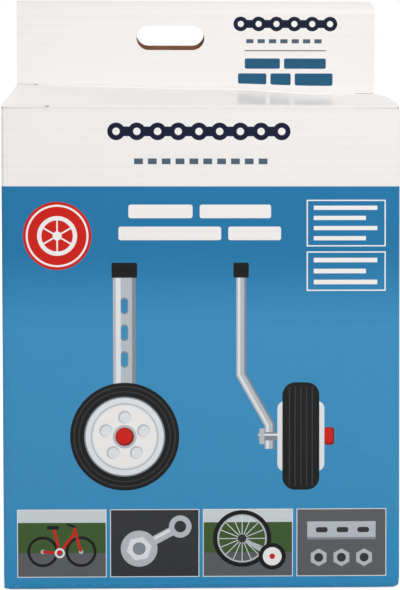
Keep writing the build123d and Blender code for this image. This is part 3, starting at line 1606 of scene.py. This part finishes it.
@dataclass
class ClosingStrip:
    """Strip that closes the top: tuck flap, top panel, header front layer, spine and rear layer.

    Attributes:
        sizes: sizes of the carton.
        slot_length: length of the hang slot.
        slot_height: height of the hang slot.
        slot_offset: middle of the slot from the middle of the carton.
        slot_drop: ridge to the middle of the front layer's slot.
        slot_slip: rear layer's slot above the front layer's.
        slot_flat: half the straight length left in the slot's round ends.
        lock_slit: length and width of the slits at the ends of the tuck fold.
        lock_nick: half the length and width of the nick at the left slit's inner end.
        lock_place: where the slits lie in the fold, as a share of its turn.
        crease_slit: length and width of the slits at the ends of the header crease.
        crease_nick: half the length and width of the nick at the left slit's inner end.
        crease_place: where these slits lie in the crease, as a share of its turn.
        slit_overrun: how far the slits are cut past the board's ends.
        tuck_taper: how far the tuck flap's end is in from the ends of the tuck fold.
    """

    sizes: CartonSizes
    slot_length: float = 50.0
    slot_height: float = 18.0
    slot_offset: float = -18.8
    slot_drop: float = 27.4
    slot_slip: float = 3.0
    slot_flat: float = 0.01
    lock_slit: Point = (32.0, 0.06)
    lock_nick: Point = (1.5, 0.22)
    lock_place: float = 0.3
    crease_slit: Point = (14.0, 1.0)
    crease_nick: Point = (1.1, 0.95)
    crease_place: float = 0.5
    slit_overrun: float = 1.0
    tuck_taper: float = 9.0

    def __post_init__(self) -> None:
        """Lays out the fold path of the strip."""
        sizes = self.sizes
        half = sizes.half_board
        tuck = sizes.tuck_y + half
        header = sizes.header_face_y + half
        corners = [
            (tuck, sizes.flap_level - sizes.tuck_reach),
            (tuck, sizes.lid_z - half),
            (header, sizes.crease_z - half),
            (header, sizes.ridge_z - sizes.spine_drop),
            (sizes.face, sizes.ridge_z),
            (sizes.face, sizes.flap_level),
        ]
        self.path = FoldPath(corners, sizes.crease_middle, 1)

    def cut_end(self, side: int) -> Outline:
        """Follows one cut end of the strip, from the tuck flap to the rear layer's foot.

        Args:
            side: -1 for the left end, 1 for the right end.

        Returns:
            Distance along the strip and place across it, point by point.
        """
        sizes = self.sizes
        lid, header = sizes.lid_half, sizes.header_half
        tuck, crease, front_spine, ridge = self.path.creases
        taper = sizes.spine_taper if side > 0 else 0.0
        halves = [
            (0.0, lid - self.tuck_taper),
            (tuck.start, lid - sizes.board),
            (tuck.middle, lid),
            (tuck.end, lid),
            (crease.start, header),
            (front_spine.middle, header),
            (ridge.middle, header - taper),
            (ridge.middle + sizes.spine_drop, header),
            (self.path.length, header),
        ]
        return [(distance, side * half) for distance, half in halves]

    def header_distance(self, z: float, rear: bool) -> float:
        """Finds a height on one of the header's layers.

        Args:
            z: height above the floor.
            rear: rear layer, or front layer.

        Returns:
            Its distance along the strip.
        """
        _, _, front_layer, _, rear_layer = self.path.runs
        run = rear_layer if rear else front_layer
        return run.start + abs(z - run.origin.y)

    def slot(self, rear: bool) -> Outline:
        """Outline of the hang slot in one of the header's layers.

        Args:
            rear: rear layer, or front layer.

        Returns:
            The outline, counter-clockwise.
        """
        slip = self.slot_slip if rear else 0.0
        middle = self.header_distance(self.sizes.ridge_z - self.slot_drop + slip, rear)
        half, reach = self.slot_height / 2, self.slot_length / 2
        left, right = self.slot_offset - reach, self.slot_offset + reach
        return pill(middle - half, left, middle + half, right, half - self.slot_flat)

    def slits(self) -> list[Outline]:
        """Cuts at the ends of the tuck fold and of the header crease.

        Returns:
            Outlines of the slits and of the nicks at their ends.
        """
        tuck, crease = self.path.creases[:2]
        ends = (
            (tuck, self.lock_place, self.sizes.lid_half, self.lock_slit, self.lock_nick),
            (crease, self.crease_place, self.sizes.header_half, self.crease_slit, self.crease_nick),
        )
        cuts = []
        for leg, share, half, (length, width), (reach, spread) in ends:
            middle = leg.start + leg.length * share
            near, far = middle - width / 2, middle + width / 2
            past, inner = half + self.slit_overrun, half - length
            cuts.append(rectangle(near, inner, far, past))
            cuts.append(rectangle(near, -past, far, -inner))
            cuts.append(rectangle(leg.middle - spread, -inner - reach, leg.middle + spread, reach - inner))
        return cuts

    def sheet(self) -> Sheet:
        """Lays the strip out flat.

        Returns:
            The sheet, with its print turned to run along the strip.
        """
        art = []
        for ink, area in HEADER_PRINT.areas():
            art.append((ink, [(self.header_distance(z, False), x) for x, z in reversed(area)]))
        outline = self.cut_end(-1) + self.cut_end(1)[::-1]
        slots = [self.slot(False), self.slot(True)]
        return Sheet(self.path, Lie.SIDE, outline, art, slots=slots, slits=self.slits(), skewed=True)


@dataclass
class FluteEdges:
    """Waves of the fluted core, where a cut edge crosses the flutes, in millimetres.

    Attributes:
        sizes: sizes of the carton.
        handling: how the real carton departs from its drawing.
        paper: thickness of the fluting paper.
        depth: how far the waves reach in from the cut edge.
        step: length of each step along a wave.
        spacing: distance between the points that a cut edge is followed by.
    """

    sizes: CartonSizes
    handling: Handling
    paper: float = 0.22
    depth: float = 0.85
    step: float = 0.5
    spacing: float = 1.0

    def tree(self) -> bpy.types.NodeTree:
        """Builds the node tree that runs a wave along each cut edge.

        Returns:
            The tree, with named inputs for pitch, height, depth, step and material.
        """
        tree = bpy.data.node_groups.new("flute_wave", "GeometryNodeTree")
        lengths = dict.fromkeys(("Pitch", "Height", "Depth", "Step"), "Float")
        for name, kind in {"Edges": "Geometry", **lengths, "Material": "Material"}.items():
            tree.interface.new_socket(name=name, in_out="INPUT", socket_type=f"NodeSocket{kind}")
        tree.interface.new_socket(name="Waves", in_out="OUTPUT", socket_type="NodeSocketGeometry")
        bench = NodeBench(tree)
        given = bench.add("NodeGroupInput").outputs
        curve = bench.out("GeometryNodeMeshToCurve", i0=given["Edges"])
        by_length = {"mode": "LENGTH"}
        curve = bench.out("GeometryNodeResampleCurve", by_length, Curve=curve, Length=given["Step"])
        along = bench.add("GeometryNodeSplineParameter").outputs["Length"]
        turns = bench.math("MULTIPLY", bench.math("DIVIDE", along, given["Pitch"]), math.tau)
        wave = bench.math("MULTIPLY", bench.math("SINE", turns), given["Height"])
        vector = {"data_type": "FLOAT_VECTOR"}
        out = bench.out("GeometryNodeInputNamedAttribute", vector, Name="out")
        inward = bench.out("GeometryNodeInputNamedAttribute", vector, Name="inward")
        lift = bench.out("ShaderNodeVectorMath", {"operation": "SCALE"}, i0=out, Scale=wave)
        curve = bench.out("GeometryNodeSetPosition", Geometry=curve, Offset=lift)
        ribbon = bench.out("GeometryNodeCurveToMesh", Curve=curve)
        ribbon = bench.out(
            "GeometryNodeExtrudeMesh",
            {"mode": "EDGES"},
            Mesh=ribbon,
            Offset=inward,
            Offset_Scale=given["Depth"],
        )
        ribbon = bench.out("GeometryNodeRealizeInstances", Geometry=ribbon)
        ribbon = bench.out("GeometryNodeSetMaterial", Geometry=ribbon, Material=given["Material"])
        bench.add("NodeGroupOutput", Waves=ribbon)
        return tree

    def trace(self, sheet: Sheet, ends: Outline) -> list[tuple[Vector, Vector, Vector]]:
        """Follows one cut edge.

        Args:
            sheet: sheet with the edge.
            ends: distance along the path and place across it, from one end of the edge to the other.

        Returns:
            Places on the edge, each with the direction out of the board and the one into the edge.
        """
        board = BoardMesh(self.sizes, self.handling)
        unit = 1.0
        traced = []
        for (s0, a0), (s1, a1) in zip(ends, ends[1:]):
            steps = max(1, round((s1 - s0) / self.spacing))
            for step in range(steps):
                share = step / steps
                along, across = s0 + (s1 - s0) * share, a0 + (a1 - a0) * share
                middle, _ = board.fold(sheet, (along, across), 0.0)
                upper, _ = board.fold(sheet, (along, across), unit)
                inner, _ = board.fold(sheet, (along, across - math.copysign(unit, across)), 0.0)
                traced.append((middle, (upper - middle).normalized(), (inner - middle).normalized()))
        return traced

    def guide(self, edges: list[tuple[Sheet, Outline]]) -> bpy.types.Object:
        """Makes a wire along each cut edge.

        Args:
            edges: sheets with the edges to follow.

        Returns:
            The wires, with the attributes out and inward.
        """
        points: list[tuple[Vector, Vector, Vector]] = []
        lines: list[tuple[int, int]] = []
        for sheet, ends in edges:
            first = len(points)
            points += self.trace(sheet, ends)
            lines += [(index, index + 1) for index in range(first, len(points) - 1)]
        mesh = bpy.data.meshes.new("flute_lines")
        mesh.from_pydata([point[0] for point in points], lines, [])
        for number, label in ((1, "out"), (2, "inward")):
            values = [value for point in points for value in point[number]]
            mesh.attributes.new(label, "FLOAT_VECTOR", "POINT").data.foreach_set("vector", values)
        guide = bpy.data.objects.new("flute_lines", mesh)
        bpy.context.scene.collection.objects.link(guide)
        return guide

    def build(self, edges: list[tuple[Sheet, Outline]], material: bpy.types.Material) -> bpy.types.Object:
        """Makes the waves of all cut edges.

        Args:
            edges: sheets with the edges to follow.
            material: finish of the fluting paper.

        Returns:
            The piece.
        """
        guide = self.guide(edges)
        waves = guide.modifiers.new("waves", "NODES")
        waves.node_group = self.tree()
        values = {
            "Pitch": self.sizes.flute_pitch * MM,
            "Height": (self.sizes.half_board - self.sizes.liner - self.paper / 2) * MM,
            "Depth": self.depth * MM,
            "Step": self.step * MM,
            "Material": material,
        }
        for item in waves.node_group.interface.items_tree:
            if item.in_out == "INPUT" and item.name in values:
                waves[item.identifier] = values[item.name]
        thick = guide.modifiers.new("paper", "SOLIDIFY")
        thick.thickness = self.paper * MM
        thick.offset = 0.0
        evaluated = guide.evaluated_get(bpy.context.evaluated_depsgraph_get())
        result = bpy.data.meshes.new_from_object(evaluated)
        bpy.data.objects.remove(guide)
        for label in ("out", "inward"):
            result.attributes.remove(result.attributes[label])
        result.name = "cut_flutes"
        result.materials.clear()
        result.materials.append(material)
        return settle_piece(bpy.data.objects.new("cut_flutes", result))


@dataclass
class Carton:
    """The whole carton.

    Attributes:
        sizes: its sizes.
        handling: how it departs from its drawing.
    """

    sizes: CartonSizes = field(default_factory=CartonSizes)
    handling: Handling = field(default_factory=Handling)

    def build(self, finishes: Finishes) -> None:
        """Makes each piece of the carton.

        Args:
            finishes: the carton's finishes.
        """
        body = CartonBody(self.sizes)
        strip = ClosingStrip(self.sizes)
        strip_sheet = strip.sheet()
        groups = {**body.upright_sheets(), **body.flap_sheets()}
        groups["top_strip"] = [strip_sheet]
        groups["glue_flap"] = [body.glue_flap()]
        core = BoardMesh(self.sizes, self.handling)
        inner = BoardMesh(self.sizes, self.handling)
        for name, sheets in groups.items():
            outer = BoardMesh(self.sizes, self.handling)
            for sheet in sheets:
                outer.add(sheet, Layer.OUTER)
                core.add(sheet, Layer.CORE)
                inner.add(sheet, Layer.INNER)
            outer.finish(name, finishes.board)
        core.finish("board_core", finishes.flute)
        inner.finish("inner_liner", finishes.liner)
        from_tuck_fold = 2
        edges = [(strip_sheet, strip.cut_end(side)[from_tuck_fold:]) for side in (-1, 1)]
        FluteEdges(self.sizes, self.handling).build(edges, finishes.flute)


@dataclass(frozen=True)
class Lamp:
    """A square soft lamp that faces the carton.

    Attributes:
        name: its name.
        place: where it hangs, in metres.
        size: length of its sides, in metres.
        power: its power, in watts.
        aim: place that it faces, in metres.
    """

    name: str
    place: Place
    size: float
    power: float
    aim: Place = (0.0, 0.0, 0.2)

    def hang(self) -> None:
        """Puts the lamp into the scene."""
        data = bpy.data.lights.new(self.name, "AREA")
        data.size = self.size
        data.energy = self.power
        lamp = bpy.data.objects.new(self.name, data)
        lamp.location = self.place
        lamp.rotation_euler = (Vector(self.aim) - lamp.location).to_track_quat("-Z", "Y").to_euler()
        bpy.context.scene.collection.objects.link(lamp)


@dataclass(frozen=True)
class Studio:
    """Floor, lamps, world and camera, in metres.

    Attributes:
        distance: camera to the front panel.
        height: camera above the floor.
        side: camera to the right of the carton's middle.
        pitch: how far the camera looks down, in degrees.
        yaw: how far it looks to the right, in degrees.
        roll: how far it is turned about its view, clockwise, in degrees.
        focal: focal length in pixels of the picture.
        shift: upward shift of the lens, as a share of the picture's long side.
        sensor: width of the camera's sensor, in millimetres.
        view_end: how far the camera sees.
        floor_size: length of the floor's sides.
        floor_gap: floor below the carton's foot, so that their faces don't coincide.
        floor_colour: colour of the floor, as linear RGBA.
        glow_reach: distances from the middle between which the floor's background glow grows.
        glow: that glow at the two distances.
        ambient: strength of the light from all round.
        background: strength of the background behind the carton, 1 for white.
        white: colour of the light and the background, as linear RGBA.
        lamps: the lamps.
    """

    distance: float = 1.8
    height: float = 0.44
    side: float = -0.0683
    pitch: float = 4.897
    yaw: float = 2.12
    roll: float = -0.19
    focal: float = 2578.0
    shift: float = -0.18
    sensor: float = 36.0
    view_end: float = 100.0
    floor_size: float = 16.0
    floor_gap: float = 0.0003
    floor_colour: Colour = (0.6, 0.6, 0.6, 1.0)
    glow_reach: Point = (0.2, 1.4)
    glow: Point = (0.7, 1.0)
    ambient: float = 0.3
    background: float = 1.0
    white: Colour = (1.0, 1.0, 1.0, 1.0)
    lamps: tuple[Lamp, ...] = (
        Lamp("key", place=(0.5, -1.4, 0.9), size=0.8, power=12.1),
        Lamp("top", place=(0.0, -1.0, 2.3), size=1.2, power=10.6),
        Lamp("fill", place=(-1.25, -0.9, 0.8), size=0.9, power=2.8),
        Lamp("side", place=(1.5, 0.7, 1.4), size=1.0, power=8.0),
        Lamp("rear", place=(-1.6, 1.9, 1.2), size=1.4, power=30.0),
    )

    def camera(self) -> None:
        """Sets the camera up in front of the carton."""
        data = bpy.data.cameras.new("camera")
        data.sensor_width = self.sensor
        data.sensor_fit = "AUTO"
        data.lens = self.focal * self.sensor / IMAGE_HEIGHT
        data.shift_y = self.shift
        data.clip_end = self.view_end
        camera = bpy.data.objects.new("camera", data)
        camera.location = (self.side, CAD_BOX[0][1] - self.distance, self.height)
        turns = (QUARTER_TURN - self.pitch, self.roll, -self.yaw)
        camera.rotation_euler = [math.radians(turn) for turn in turns]
        bpy.context.scene.collection.objects.link(camera)
        bpy.context.scene.camera = camera

    def floor(self) -> None:
        """Lays the pale floor, with painted light: a glow for camera, glossy and transmission rays, weaker
        near the carton than far from it.
        """
        half = self.floor_size / 2
        corners = [(x, y, -self.floor_gap) for x, y in rectangle(-half, -half, half, half)]
        mesh = bpy.data.meshes.new("floor")
        mesh.from_pydata(corners, [], [list(range(len(corners)))])
        material, bench, place = new_material("pale_floor_painted_glow")
        # Painted light: the floor glows for camera, glossy and transmission rays, less near the carton than
        # far from it
        away = bench.add("ShaderNodeVectorMath", {"operation": "LENGTH"}, i0=place).outputs["Value"]
        near, far = self.glow_reach
        least, most = self.glow
        glow = bench.out(
            "ShaderNodeMapRange", Value=away, From_Min=near, From_Max=far, To_Min=least, To_Max=most
        )
        glow = bench.math("MULTIPLY", bench.seen(), glow)
        lift = bench.out("ShaderNodeEmission", Strength=glow)
        matt = bench.out("ShaderNodeBsdfDiffuse", Color=self.floor_colour)
        both = bench.out("ShaderNodeAddShader", i0=matt, i1=lift)
        bench.add("ShaderNodeOutputMaterial", Surface=both)
        mesh.materials.append(material)
        floor = bpy.data.objects.new("floor", mesh)
        bpy.context.scene.collection.objects.link(floor)

    def world(self) -> None:
        """Sets the soft light from all round."""
        world = bpy.data.worlds.new("studio")
        world.use_nodes = True
        bpy.context.scene.world = world
        bench = NodeBench(world.node_tree)
        strength = bench.spread(bench.seen(), self.ambient, self.background)
        shader = bench.out("ShaderNodeBackground", Color=self.white, Strength=strength)
        bench.add("ShaderNodeOutputWorld", Surface=shader)

    def build(self) -> None:
        """Sets the whole studio up."""
        bpy.context.scene.view_settings.view_transform = "Standard"
        self.floor()
        self.world()
        for lamp in self.lamps:
            lamp.hang()
        self.camera()


def main() -> None:
    """Builds the carton and the studio."""
    logging.basicConfig(level=logging.INFO, format="%(name)s: %(message)s")
    Carton().build(Finishes.make())
    Studio().build()


if __name__ == "__main__":
    main()
